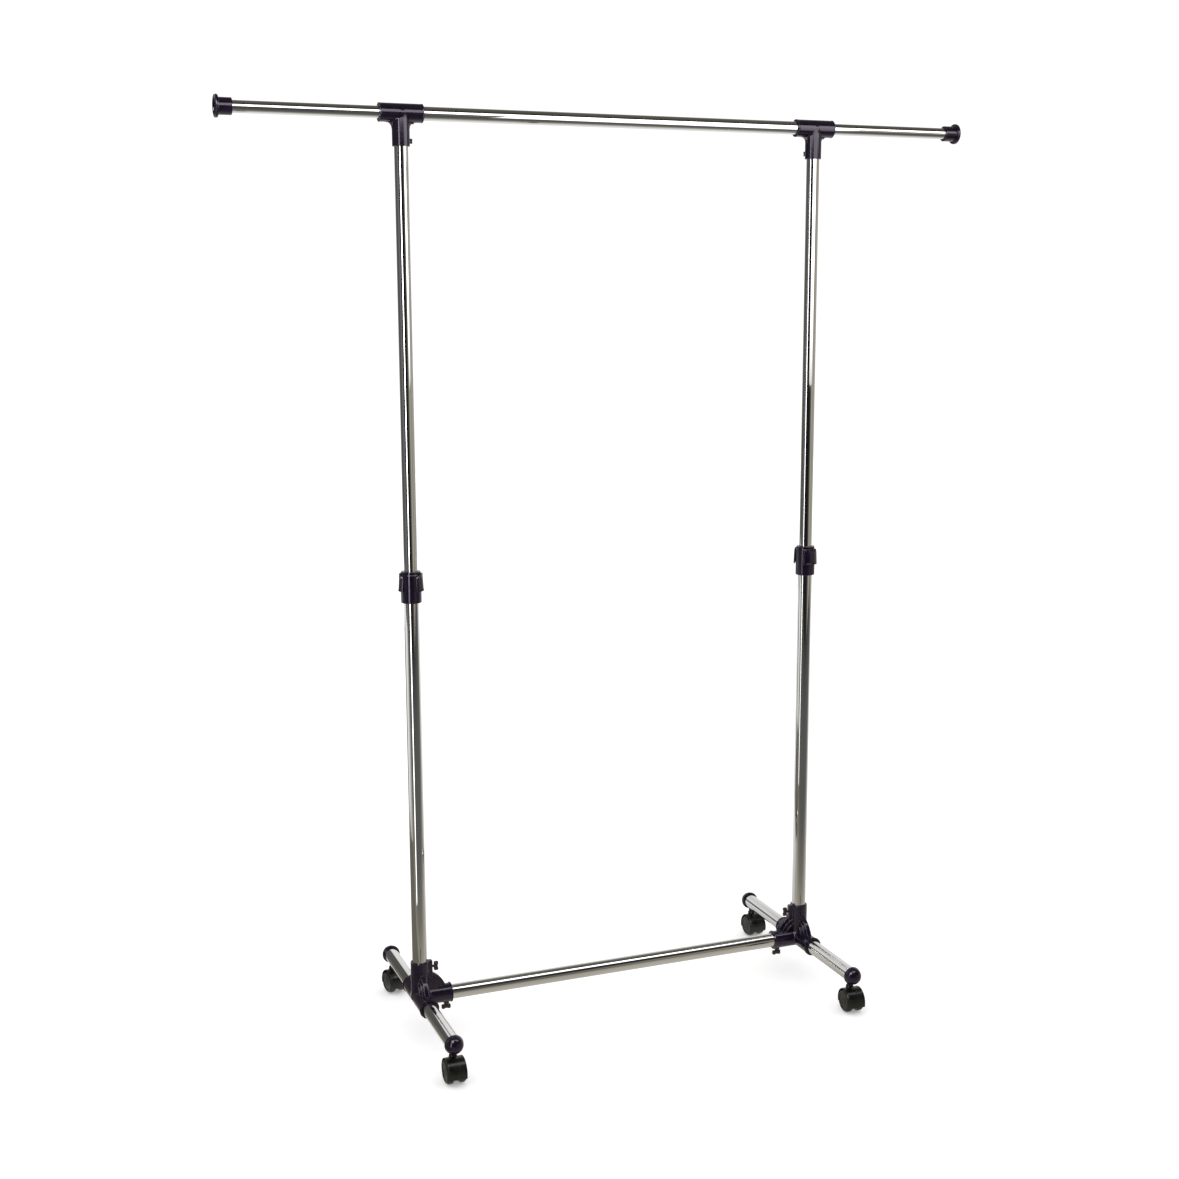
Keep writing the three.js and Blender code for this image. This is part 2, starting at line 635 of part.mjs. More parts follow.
// The right-hand rod, its inner bush and its end cap, measured back from the end of the cap.
function rodAssembly(side) {
  const group = new THREE.Group();
  const outerEnd = ROD_CAP_BORE - ROD_CAP_LENGTH - SEAT_GAP;
  const innerEnd = outerEnd - ROD_LENGTH;
  const guide = POST_TUBE / 2 - TUBE_WALL - RUNNING_GAP;
  const bush = plugBush(`rod_bush_${side}`, guide, ROD_TUBE / 2 - TUBE_WALL - SOCKET_GAP, [6, 12]);
  bush.rotation.y = Math.PI / 2;
  group.add(
    piece(`extension_rod_${side}`, alongX(pipe(ROD_TUBE, ROD_LENGTH).translate(0, 0, innerEnd)), 'chrome'),
    placed(bush, innerEnd, 0, 0),
    rodEndCap(`rod_end_cap_${side}`),
  );
  return group;
}

// The guide bush in the lower end of an upper post.
function postBush(name) {
  const guide = BASE_TUBE / 2 - TUBE_WALL - RUNNING_GAP;
  return plugBush(name, guide, POST_TUBE / 2 - TUBE_WALL - SOCKET_GAP, [8, 14]);
}

// --------------------------------------------------------------- assembly

// Which way each caster happens to trail, as a turn about Z from trailing towards -Y.
const CASTERS = {
  left_front: { x: -1, y: -1, turn: 0 },
  right_front: { x: 1, y: -1, turn: -2 },
  right_back: { x: 1, y: 1, turn: 4 },
  left_back: { x: -1, y: 1, turn: 12 },
};
const COLLAR_TURN = { left: -23, right: -77 };

function base(side, outward) {
  const group = new THREE.Group();
  const fitting = hub(`hub_${side}`);
  fitting.rotation.z = outward > 0 ? Math.PI : 0;
  group.add(fitting, footTube(`foot_tube_${side}`), lowerPost(`lower_post_${side}`));
  group.add(...hubScrews(side, -outward));
  for (const [word, way] of [['front', -1], ['back', 1]]) {
    const cap = footCap(`foot_cap_${side}_${word}`);
    cap.rotation.z = way > 0 ? 0 : Math.PI;
    group.add(placed(cap, 0, way * CAP_SPACING / 2, 0));
  }
  return placed(group, outward * POST_X, 0, BASE_HEIGHT);
}

function topCorner(side, outward) {
  const group = new THREE.Group();
  const bush = placed(postBush(`post_bush_${side}`), 0, 0, -UPPER_POST_LENGTH - TEE_POST_SEAT);
  group.add(tee(`tee_${side}`, outward), teeScrew(`tee_screw_${side}`, -outward));
  group.add(railScrew(`rail_screw_${side}`));
  group.add(placed(upperPost(`upper_post_${side}`), 0, 0, -TEE_POST_SEAT), bush);
  return placed(group, outward * POST_X, 0, RAIL_HEIGHT);
}

const rack = new THREE.Group();
rack.add(placed(crossbar(), 0, 0, BASE_HEIGHT), placed(hangingRail(), 0, 0, RAIL_HEIGHT));
for (const [side, outward] of [['left', -1], ['right', 1]]) {
  rack.add(base(side, outward), topCorner(side, outward));
  const grip = placed(heightCollar(side), outward * POST_X, 0, COLLAR_BOTTOM);
  grip.rotation.z = THREE.MathUtils.degToRad(COLLAR_TURN[side]);
  const rod = placed(rodAssembly(side), outward * RAIL_SPAN / 2, 0, RAIL_HEIGHT);
  rod.rotation.z = outward > 0 ? 0 : Math.PI;
  rack.add(grip, rod);
}
for (const [place, { x, y, turn }] of Object.entries(CASTERS)) {
  const unit = placed(caster(place), x * POST_X, y * STEM_REACH, 0);
  unit.rotation.z = THREE.MathUtils.degToRad(turn);
  rack.add(unit);
}

export default rack;
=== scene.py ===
"""Looks for the garment rail: smooth tubes, moulded fittings, casters, studio light and camera."""

import json
import math

import bpy
import numpy as np
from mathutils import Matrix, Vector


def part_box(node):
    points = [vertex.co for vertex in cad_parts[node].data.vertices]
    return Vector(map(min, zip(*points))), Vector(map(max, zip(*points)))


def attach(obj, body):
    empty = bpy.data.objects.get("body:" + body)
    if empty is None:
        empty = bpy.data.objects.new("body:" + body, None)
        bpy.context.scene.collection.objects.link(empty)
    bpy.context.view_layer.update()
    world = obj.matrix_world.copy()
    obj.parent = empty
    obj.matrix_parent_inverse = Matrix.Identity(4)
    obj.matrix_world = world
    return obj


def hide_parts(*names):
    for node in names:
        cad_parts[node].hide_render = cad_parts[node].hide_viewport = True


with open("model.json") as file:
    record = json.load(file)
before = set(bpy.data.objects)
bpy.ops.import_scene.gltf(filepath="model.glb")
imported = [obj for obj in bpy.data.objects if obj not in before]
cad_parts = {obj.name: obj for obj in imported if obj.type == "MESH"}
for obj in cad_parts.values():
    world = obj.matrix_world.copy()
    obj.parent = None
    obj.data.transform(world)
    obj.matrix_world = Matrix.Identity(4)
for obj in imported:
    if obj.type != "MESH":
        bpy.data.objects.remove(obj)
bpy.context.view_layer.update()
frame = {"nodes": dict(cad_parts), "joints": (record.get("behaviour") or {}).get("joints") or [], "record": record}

import openvdb
from mathutils import Matrix, Vector

MM = 0.001
SIDES = {"left": -1, "right": 1}
WORDS = {"front": -1, "back": 1}


# ---------------------------------------------------------------- places

def middle(node):
    low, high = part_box(node)
    return (low + high) / 2


def size(node):
    low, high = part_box(node)
    return (high - low) / MM


JOINTS = {joint["name"]: joint for joint in frame["joints"]}
POST_X = middle("upper_post_right").x
BASE_Z = middle("crossbar").z
RAIL_Z = middle("hanging_rail").z
COLLAR_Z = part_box("height_collar_left")[0].z
BASE_TUBE = size("crossbar").y
POST_TUBE = size("upper_post_left").x
ROD_TUBE = size("extension_rod_left").y
TUBE_WALL = 1.0
FIT = 0.3
CAP_STAND_OFF = 2.8
CAP_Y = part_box("foot_tube_left")[1].y + CAP_STAND_OFF * MM


# ------------------------------------------------------------- materials

def material(name, build):
    made = bpy.data.materials.new(name)
    made.use_nodes = True
    nodes = made.node_tree.nodes
    nodes.clear()
    shader = nodes.new("ShaderNodeBsdfPrincipled")
    output = nodes.new("ShaderNodeOutputMaterial")
    made.node_tree.links.new(shader.outputs[0], output.inputs["Surface"])
    build(made.node_tree, shader)
    return made


def link(tree, source, target):
    tree.links.new(source, target)


def noise(tree, scale, detail=4.0, stretch=(1, 1, 1), roughness=0.55):
    """Noise in the piece's own space, in cycles per metre, stretched along its axes."""
    place = tree.nodes.new("ShaderNodeTexCoord")
    mapping = tree.nodes.new("ShaderNodeMapping")
    mapping.inputs["Scale"].default_value = stretch
    texture = tree.nodes.new("ShaderNodeTexNoise")
    texture.inputs["Scale"].default_value = scale
    texture.inputs["Detail"].default_value = detail
    texture.inputs["Roughness"].default_value = roughness
    link(tree, place.outputs["Object"], mapping.inputs["Vector"])
    link(tree, mapping.outputs["Vector"], texture.inputs["Vector"])
    return texture.outputs["Fac"]


def spread(tree, value, low, high, start=0.3, end=0.7):
    """A 0 to 1 texture value turned into a number between low and high."""
    node = tree.nodes.new("ShaderNodeMapRange")
    node.inputs["From Min"].default_value = start
    node.inputs["From Max"].default_value = end
    node.inputs["To Min"].default_value = low
    node.inputs["To Max"].default_value = high
    link(tree, value, node.inputs["Value"])
    return node.outputs["Result"]


def two_tone(tree, value, dark, light, start=0.35, end=0.65):
    """A 0 to 1 texture value turned into a colour between dark and light."""
    ramp = tree.nodes.new("ShaderNodeValToRGB")
    ramp.color_ramp.elements[0].position = start
    ramp.color_ramp.elements[1].position = end
    ramp.color_ramp.elements[0].color = (*dark, 1)
    ramp.color_ramp.elements[1].color = (*light, 1)
    link(tree, value, ramp.inputs["Fac"])
    return ramp.outputs["Color"]


def bump(tree, shader, height, strength, distance):
    node = tree.nodes.new("ShaderNodeBump")
    node.inputs["Strength"].default_value = strength
    node.inputs["Distance"].default_value = distance
    link(tree, height, node.inputs["Height"])
    link(tree, node.outputs["Normal"], shader.inputs["Normal"])


def chrome(tree, shader):
    """Plated tube, bright polished, with faint haze from handling."""
    shader.inputs["Metallic"].default_value = 1.0
    shader.inputs["IOR"].default_value = 2.4
    haze = noise(tree, 22, 5, (1, 1, 0.25))
    link(tree, two_tone(tree, haze, (0.72, 0.715, 0.70), (0.80, 0.795, 0.785)), shader.inputs["Base Color"])
    link(tree, spread(tree, haze, 0.02, 0.06), shader.inputs["Roughness"])


def plastic(tree, shader, pattern, tones, gloss, grain_scale, relief):
    """Plastic whose colour and gloss follow one pattern, with a fine grain of (strength, depth in mm)."""
    shader.inputs["IOR"].default_value = 1.5
    link(tree, two_tone(tree, pattern, *tones), shader.inputs["Base Color"])
    link(tree, spread(tree, pattern, *gloss), shader.inputs["Roughness"])
    strength, depth = relief
    bump(tree, shader, noise(tree, grain_scale, 2), strength, depth * MM)


def fitting_plastic(tree, shader):
    """Injection-moulded gloss plastic, near black with a violet cast, with a faint flow texture."""
    tones = (0.0048, 0.0028, 0.0085), (0.0085, 0.0048, 0.0155)
    plastic(tree, shader, noise(tree, 60, 4), tones, (0.11, 0.17), 2600, (0.02, 0.02))
    shader.inputs["Coat Weight"].default_value = 0.25
    shader.inputs["Coat Roughness"].default_value = 0.06
    shader.inputs["Specular Tint"].default_value = (0.93, 0.84, 1.0, 1)


def edge_plastic(tree, shader):
    """The fittings' plastic on the gussets' edges, with a stronger and softer shine that picks them out."""
    fitting_plastic(tree, shader)
    shader.inputs["Specular IOR Level"].default_value = 1.0
    sheen = noise(tree, 150, 4)
    link(tree, spread(tree, sheen, 0.34, 0.42), shader.inputs["Roughness"])


def caster_plastic(tree, shader):
    """Satin black plastic with fine spark-eroded grain."""
    tones = (0.003, 0.0034, 0.0026), (0.007, 0.0077, 0.006)
    plastic(tree, shader, noise(tree, 90, 4), tones, (0.22, 0.32), 3200, (0.15, 0.04))
    shader.inputs["Specular Tint"].default_value = (0.96, 1.0, 0.93, 1)


def wheel_plastic(tree, shader):
    """Harder, slightly lighter plastic than the caster's body, with scuffs drawn out along the axle."""
    tones = (0.004, 0.0045, 0.0035), (0.010, 0.011, 0.0085)
    plastic(tree, shader, noise(tree, 420, 5, (1, 1, 0.15)), tones, (0.26, 0.40), 2800, (0.2, 0.04))


def screw_plastic(tree, shader):
    """Moulded plastic, nearly black with a warm cast."""
    tones = (0.014, 0.008, 0.008), (0.030, 0.018, 0.018)
    plastic(tree, shader, noise(tree, 200, 4), tones, (0.26, 0.40), 3000, (0.15, 0.03))


def guide_plastic(tree, shader):
    """Dull grey plastic, for the guides inside the tubes."""
    tones = (0.05, 0.05, 0.05), (0.11, 0.11, 0.11)
    plastic(tree, shader, noise(tree, 120, 4), tones, (0.45, 0.6), 2400, (0.2, 0.03))


def pin_steel(tree, shader):
    """Bare steel with fine turned rings."""
    shader.inputs["Metallic"].default_value = 1.0
    lines = noise(tree, 1500, 3, (1, 1, 12))
    link(tree, two_tone(tree, lines, (0.34, 0.34, 0.33), (0.52, 0.52, 0.50)), shader.inputs["Base Color"])
    link(tree, spread(tree, lines, 0.22, 0.38), shader.inputs["Roughness"])
    bump(tree, shader, lines, 0.2, 0.02 * MM)


MATERIALS = {
    "chrome_tube": material("chrome_tube", chrome),
    "fitting": material("fitting", fitting_plastic),
    "fitting_edge": material("fitting_edge", edge_plastic),
    "caster_body": material("caster_body", caster_plastic),
    "wheel": material("wheel", wheel_plastic),
    "screw": material("screw", screw_plastic),
    "guide_plastic": material("guide_plastic", guide_plastic),
    "steel_pin": material("steel_pin", pin_steel),
}
NODE_SLOTS = {part["node"]: part["material_slot"] for part in frame["record"]["subparts"]}


# ------------------------------------------------------------- mesh tools

def mesh_from(name, points, faces):
    mesh = bpy.data.meshes.new(name)
    mesh.from_pydata(points, [], faces)
    mesh.update()
    mesh.shade_smooth()
    return mesh


def rounded_outline(corners, steps=4):
    """A closed outline, with each [radius, z, edge] corner rounded by an arc that starts edge away."""
    count = len(corners)
    points = []
    for i, (r, z, edge) in enumerate(corners):
        here = Vector((r, z))
        if edge == 0:
            points.append(here)
            continue
        before = Vector(corners[i - 1][:2]) - here
        after = Vector(corners[(i + 1) % count][:2]) - here
        start = here + before.normalized() * min(edge, before.length / 2)
        end = here + after.normalized() * min(edge, after.length / 2)
        for k in range(steps + 1):
            t = k / steps
            points.append(start * (1 - t) ** 2 + here * 2 * t * (1 - t) + end * t * t)
    return points


def supported(outline, inset=0.4):
    """The outline with two more points on each long straight, so that the shading there stays straight."""
    points = []
    for i, here in enumerate(outline):
        after = outline[(i + 1) % len(outline)]
        points.append(here)
        length = (after - here).length
        if length > 4 * inset and max(here.x, after.x) > 0:
            points.append(here.lerp(after, inset / length))
            points.append(after.lerp(here, inset / length))
    return points


def turned(name, corners, segments=96, steps=4):
    """A body of revolution about its own Z. The outline runs anticlockwise, in millimetres."""
    outline = supported(rounded_outline(corners, steps))
    points, rings = [], []
    for point in outline:
        if point.x < 1e-6:
            rings.append([len(points)] * segments)
            points.append((0, 0, point.y * MM))
            continue
        rings.append(list(range(len(points), len(points) + segments)))
        for k in range(segments):
            angle = 2 * math.pi * k / segments
            points.append((point.x * MM * math.cos(angle), point.x * MM * math.sin(angle), point.y * MM))
    faces = []
    for i, low in enumerate(rings):
        high = rings[(i + 1) % len(rings)]
        for k in range(segments):
            n = (k + 1) % segments
            loop = [low[k], low[n], high[n], high[k]]
            face = [v for j, v in enumerate(loop) if v != loop[j - 1]]
            if len(face) > 2:
                faces.append(face)
    return mesh_from(name, points, faces)


def pipe(name, diameter, length):
    """A cut tube about its own Z from z = 0, with deburred ends."""
    outer = diameter / 2
    inner = outer - TUBE_WALL
    burr = 0.25
    return turned(name, [
        [outer, 0, burr], [outer, length, burr], [inner, length, burr], [inner, 0, burr],
    ], steps=2)


BAND_CELLS = 4
MARGIN_CELLS = 2
PASSES = 2
LONGEST_MOVE = 0.3
GENTLEST_SLOPE = 0.25


def moulded(name, shape, low, high, step):
    """The surface where shape(x, y, z) is zero, in millimetres, as a mesh in metres."""
    ends = [(a - MARGIN_CELLS * step, b + (MARGIN_CELLS + 1) * step) for a, b in zip(low, high)]
    axes = [np.arange(a, b, step, dtype=np.float32) for a, b in ends]
    x, y, z = np.meshgrid(*axes, indexing="ij", sparse=True)
    field = np.ascontiguousarray(np.broadcast_to(shape(x, y, z), [len(a) for a in axes]), dtype=np.float32)
    grid = openvdb.FloatGrid(BAND_CELLS * step)
    grid.copyFromArray(np.clip(field, -BAND_CELLS * step, BAND_CELLS * step))
    points, quads = grid.convertToQuads(0.0)
    places = points * step + np.array([a[0] for a in axes])
    for _ in range(PASSES):
        places = onto_surface(shape, places)
    mesh = mesh_from(name, (places * MM).tolist(), quads.tolist())
    slope = slope_at(shape, places, step / 3)
    steep = np.maximum(np.linalg.norm(slope, axis=1), 1e-6)
    mesh.normals_split_custom_set_from_vertices((slope / steep[:, None]).tolist())
    return mesh


def slope_at(shape, places, reach=0.05):
    """How fast the shape's distance grows along x, y and z at each point."""
    x, y, z = places.T
    return np.stack([
        shape(x + reach, y, z) - shape(x - reach, y, z),
        shape(x, y + reach, z) - shape(x, y - reach, z),
        shape(x, y, z + reach) - shape(x, y, z - reach),
    ], axis=1) / (2 * reach)


def onto_surface(shape, places):
    """Each point moved along the shape's slope to where the shape is zero."""
    slope = slope_at(shape, places)
    steep = np.maximum((slope ** 2).sum(axis=1), GENTLEST_SLOPE)
    move = np.clip(shape(*places.T) / steep, -LONGEST_MOVE, LONGEST_MOVE)
    return places - slope * move[:, None]


# ------------------------------------------- distances to simple shapes

def rounded(a, b, edge):
    """Inside two limits at once, with the corner between them rounded by edge."""
    a = a + edge
    b = b + edge
    return np.minimum(np.maximum(a, b), 0) + np.hypot(np.maximum(a, 0), np.maximum(b, 0)) - edge


def rod(across, along, radius, start, end, edge=0.8):
    """A round bar: across is the distance from its axis, along the place on its axis."""
    return rounded(across - radius, np.abs(along - (start + end) / 2) - (end - start) / 2, edge)


def slab(x, y, z, limits, edge=0.8):
    """A box between pairs of limits, with rounded edges."""
    ways = [np.abs(v - (a + b) / 2) - (b - a) / 2 for v, (a, b) in zip((x, y, z), limits)]
    return rounded(rounded(ways[0], ways[1], edge), ways[2], edge)


def fuse(a, b, radius):
    """Both shapes, with a fillet where they meet."""
    near = np.maximum(radius - np.abs(a - b), 0) / radius
    return np.minimum(a, b) - near * near * radius / 4


def carve(a, b, radius=0.6):
    """The first shape without the second, with a rounded edge."""
    return -fuse(-a, b, radius)


# ---------------------------------------------------------------- pieces

def show(mesh, node, body, at=(0, 0, 0), turn=None, slot=None):
    """A smooth piece that stands for a CAD node, in the node's place."""
    piece = bpy.data.objects.new(f"{node}_look", mesh)
    bpy.context.scene.collection.objects.link(piece)
    piece.matrix_world = Matrix.Translation(Vector(at)) @ (turn or Matrix.Identity(4))
    slot = slot or NODE_SLOTS[node]
    if not mesh.materials:
        mesh.materials.append(MATERIALS[slot])
    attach(piece, body)
    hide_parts(node)
    return piece


def about(axis, degrees):
    return Matrix.Rotation(math.radians(degrees), 4, axis)


ALONG_X = about("Y", 90)
ALONG_Y = about("X", -90)


def tube(node, body, axis):
    """A chrome tube the length and thickness of its CAD node, with its start at the node's low end."""
    low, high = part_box(node)
    centre = (low + high) / 2
    length = (high - low)[axis] / MM
    thickness = (high - low)[2 if axis == 0 else 0] / MM
    turn = (ALONG_X, ALONG_Y, Matrix.Identity(4))[axis]
    at = Vector(centre)
    at[axis] = low[axis]
    show(pipe(node, thickness, length), node, body, at, turn)


def tubes():
    tube("crossbar", "base", 0)
    tube("hanging_rail", "top_frame", 0)
    for side in SIDES:
        tube(f"foot_tube_{side}", "base", 1)
        tube(f"lower_post_{side}", "base", 2)
        tube(f"upper_post_{side}", "top_frame", 2)
        tube(f"extension_rod_{side}", f"{side}_rod", 0)


# ------------------------------------------------------------------ hubs

HUB_RADIUS = 15.75
HUB_RIM = 17.0
HUB_TOP = 63.5
HUB_CROSS = 54.0
HUB_HALF = 57.0
HUB_FLOOR = 16.0
RIM_WIDTH = 2.5
FAN_STEPS = ((46.5, 3.5), (39.5, 6.0), (32.5, 8.5))
BEAD = 0.9
BEAD_START = 6
BEAD_SWEEP = 78
BEAD_STEPS = 32
BEAD_SIDES = 12
SOCKET = BASE_TUBE / 2 + FIT
HUB_LOWEST = -20
BOSS_HALF = 4.6
BOSS_EDGE = 1.4
POST_BOSS_REACH = 21.5
POST_BOSS_FOOT = 30
POST_SCREW_HEIGHT = 51.5
CROSS_BOSS = (40.4, 49.6)
CROSS_BOSS_DROP = 19.5
CROSS_SCREW_REACH = 45
SCREW_BORE = 2.3


def fan(along, across, z):
    """A quarter disc whose flanks rise towards the hub in steps."""
    reach = np.hypot(along, z)
    shape = None
    for radius, half in FAN_STEPS:
        leaf = rounded(reach - radius, np.abs(across) - half, 0.9)
        shape = leaf if shape is None else fuse(shape, leaf, 0.3)
    return np.maximum(np.maximum(shape, -along), -z)


def hub_shape(x, y, z):
    """+X points to the other hub, and the foot tube runs through along Y."""
    from_z, from_x, from_y = np.hypot(x, y), np.hypot(y, z), np.hypot(x, z)
    sleeve = rod(from_y, y, HUB_RADIUS, -HUB_HALF, HUB_HALF)
    post = rod(from_z, z, HUB_RADIUS, -2, HUB_TOP)
    cross = rod(from_x, x, HUB_RADIUS, -2, HUB_CROSS)
    body = fuse(fuse(sleeve, post, 3), cross, 3)
    for along, across in ((x, y), (y, x), (-y, x)):
        body = fuse(body, fan(along, across, z), 0.8)
    body = fuse(body, rod(from_y, np.abs(y), HUB_RIM, HUB_HALF - RIM_WIDTH, HUB_HALF, 0.7), 0.6)
    body = fuse(body, rod(from_x, x, HUB_RIM, HUB_CROSS - RIM_WIDTH, HUB_CROSS, 0.7), 0.6)
    width = (-BOSS_HALF, BOSS_HALF)
    post_boss = slab(x, y, z, ((0, POST_BOSS_REACH), width, (POST_BOSS_FOOT, HUB_TOP)), BOSS_EDGE)
    cross_boss = slab(x, y, z, (CROSS_BOSS, width, (-CROSS_BOSS_DROP, 0)), BOSS_EDGE)
    body = fuse(fuse(body, post_boss, 1.5), cross_boss, 1.5)
    body = carve(body, from_y - SOCKET)
    body = carve(body, rod(from_z, z, SOCKET, HUB_FLOOR, 2 * HUB_TOP, 0.1))
    body = carve(body, rod(from_x, x, SOCKET, HUB_FLOOR, 2 * HUB_CROSS, 0.1))
    body = carve(body, rod(np.hypot(y, z - POST_SCREW_HEIGHT), x, SCREW_BORE, 8, 60, 0.1), 0.4)
    return carve(body, rod(np.hypot(x - CROSS_SCREW_REACH, y), z, SCREW_BORE, -60, -8, 0.1), 0.4)


def bead_points(radius, across):
    """Rings of points along one bead, an arc round a step's edge from near level to near upright."""
    points = []
    for i in range(BEAD_STEPS + 1):
        slope = math.radians(BEAD_START + BEAD_SWEEP * i / BEAD_STEPS)
        for k in range(BEAD_SIDES):
            angle = 2 * math.pi * k / BEAD_SIDES
            reach = radius - BEAD + BEAD * math.cos(angle)
            aside = across + BEAD * math.sin(angle)
            points.append(Vector((reach * math.cos(slope), aside, reach * math.sin(slope))) * MM)
    return points


def bead_faces(first):
    """The skin and the two ends of a bead whose points are numbered from first."""
    rings = [range(first + i * BEAD_SIDES, first + (i + 1) * BEAD_SIDES) for i in range(BEAD_STEPS + 1)]
    faces = [list(rings[0])[::-1], list(rings[-1])]
    for low, high in zip(rings, rings[1:]):
        for k in range(BEAD_SIDES):
            n = (k + 1) % BEAD_SIDES
            faces.append([low[k], low[n], high[n], high[k]])
    return faces


def beads():
    """A round bead along each edge of the steps. Its ends run on into the sockets and the tubes in them."""
    points, faces = [], []
    for turn in (0, 90, -90):
        about_z = about("Z", turn)
        for radius, half in FAN_STEPS:
            for side in (-1, 1):
                faces += bead_faces(len(points))
                points += [about_z @ place for place in bead_points(radius, side * half)]
    return mesh_from("hub_beads", points, faces)


def hubs():
    reach = HUB_HALF + 1
    low, high = (-HUB_RIM, -reach, HUB_LOWEST), (HUB_CROSS + 1, reach, HUB_TOP + 1)
    mesh = moulded("hub", hub_shape, low, high, step=0.75)
    edging = beads()
    edging.materials.append(MATERIALS["fitting_edge"])
    for side, outward in SIDES.items():
        turn = about("Z", 180 if outward > 0 else 0)
        at = (outward * POST_X, 0, BASE_Z)
        show(mesh, f"hub_{side}", "base", at, turn)
        edges = show(edging, f"hub_{side}", "base", at, turn)
        edges.name = f"hub_beads_{side}"


# ---------------------------------------------------------------- screws

GRIP = {"lobe": 3.3, "spread_out": 4.9, "thickness": 7, "shank": 2.0, "step": 0.3}
SMALL_GRIP = {"lobe": 1.8, "spread_out": 2.2, "thickness": 3.6, "shank": 1.5, "step": 0.22}
POST_GRIP_REACH = 25
CROSS_GRIP_REACH = 21.8
TEE_GRIP_REACH = 14.6


def grip_shape(lobe, spread_out, start, thickness, shank):
    """Two round lobes on a bridge, and a threaded shank that ends at z = 0."""
    def shape(x, y, z):
        lobes = rod(np.hypot(np.abs(x) - spread_out, y), z, lobe, start, start + thickness, lobe / 3)
        bridge_half = 0.62 * lobe
        bridge = slab(x, y, z, (
            (-spread_out, spread_out), (-bridge_half, bridge_half), (start, start + 0.9 * thickness),
        ), lobe / 4)
        neck = rod(np.hypot(x, y), z, 1.25 * shank, start - 0.4 * shank, start + 1, 0.3)
        thread = np.hypot(x, y) - shank + 0.12 * shank * np.cos(2 * math.pi * z / (0.4 * shank))
        stem = rounded(thread, np.abs(z - start / 2) - start / 2, 0.2)
        return fuse(fuse(fuse(lobes, bridge, 0.8), neck, 0.5), stem, 0.3)
    return shape


def grip(name, start, lobe, spread_out, thickness, shank, step):
    """A thumbscrew about +Z, whose grip starts at z = start."""
    side = spread_out + lobe + 1
    shape = grip_shape(lobe, spread_out, start, thickness, shank)
    return moulded(name, shape, (-side, -lobe - 1, -1), (side, lobe + 1, start + thickness + 1), step)


def screws():
    tip = BASE_TUBE / 2 + FIT
    small_tip = POST_TUBE / 2 + FIT
    post = grip("post_screw", POST_GRIP_REACH - tip, **GRIP)
    cross = grip("crossbar_screw", CROSS_GRIP_REACH - tip, **GRIP)
    small = grip("tee_screw", TEE_GRIP_REACH - small_tip, **SMALL_GRIP)
    for side, outward in SIDES.items():
        x = outward * POST_X
        turn = about("Y", -90 * outward)
        at = (x - outward * tip * MM, 0, JOINTS[f"{side}_post_screw_turn"]["pos_m"][2])
        show(post, f"post_screw_{side}", f"{side}_post_screw", at, turn)
        at = (JOINTS[f"{side}_crossbar_screw_turn"]["pos_m"][0], 0, BASE_Z - tip * MM)
        show(cross, f"crossbar_screw_{side}", f"{side}_crossbar_screw", at, about("X", 180))
        at = (x - outward * small_tip * MM, 0, JOINTS[f"{side}_tee_screw_turn"]["pos_m"][2])
        show(small, f"tee_screw_{side}", f"{side}_tee_screw", at, turn)


HEAD_RADIUS = 2.8
HEAD_HALF = 1.0
HEAD_DROP = 15.8
SHAFT_RADIUS = 1.35
SHAFT = (-15.6, -10.3)
SLOT_LONG = (-1.5, 1.5)
SLOT_WIDE = (-0.35, 0.35)
SLOT_DEEP = (-18, -HEAD_DROP)


def rail_screw_shape(x, y, z):
    """A pan-head screw that points up, below the rail's axis, with a cross recess in the head."""
    across = np.hypot(x, y)
    head = rounded(across - HEAD_RADIUS, np.abs(z + HEAD_DROP) - HEAD_HALF, 0.7)
    body = fuse(head, rod(across, z, SHAFT_RADIUS, *SHAFT, 0.2), 0.3)
    slot_x = slab(x, y, z, (SLOT_LONG, SLOT_WIDE, SLOT_DEEP), 0.1)
    slot_y = slab(x, y, z, (SLOT_WIDE, SLOT_LONG, SLOT_DEEP), 0.1)
    return carve(carve(body, slot_x, 0.2), slot_y, 0.2)


def rail_screws():
    mesh = moulded("rail_screw", rail_screw_shape, (-3, -3, -17.2), (3, 3, -10), step=0.2)
    for side in SIDES:
        at = middle(f"rail_screw_{side}")
        show(mesh, f"rail_screw_{side}", "top_frame", (at.x, at.y, RAIL_Z))


# ------------------------------------------------------------- foot caps

CAP_RADIUS = 15.8
CAP_BULGE = 15.0
CAP_RIM = 2.5
DOME_STEPS = 20
PLUG_LENGTH = 24


def foot_caps():
    """Ball-fronted caps about +Z, with a flange behind the ball and a plug with a tapered lead."""
    dome = []
    for i in range(DOME_STEPS + 1):
        angle = math.radians(4 + 86 * i / DOME_STEPS)
        dome.append([(CAP_RADIUS - 0.5) * math.cos(angle), CAP_BULGE * math.sin(angle), 0])
    dome[-1][0] = 0
    plug = BASE_TUBE / 2 - TUBE_WALL - FIT
    outline = [
        [0, -PLUG_LENGTH, 0], [plug - 1.5, -PLUG_LENGTH, 0.6], [plug, 2 - PLUG_LENGTH, 0.6],
        [plug, -CAP_RIM, 0], [CAP_RADIUS, -CAP_RIM, 0.6], [CAP_RADIUS, 0.3, 0.5], *dome,
    ]
    mesh = turned("foot_cap", outline)
    for side, outward in SIDES.items():
        for word, way in WORDS.items():
            turn = about("Z", 180 if way < 0 else 0) @ ALONG_Y
            at = (outward * POST_X, way * CAP_Y, BASE_Z)
            show(mesh, f"foot_cap_{side}_{word}", "base", at, turn)


# --------------------------------------------------------------- casters

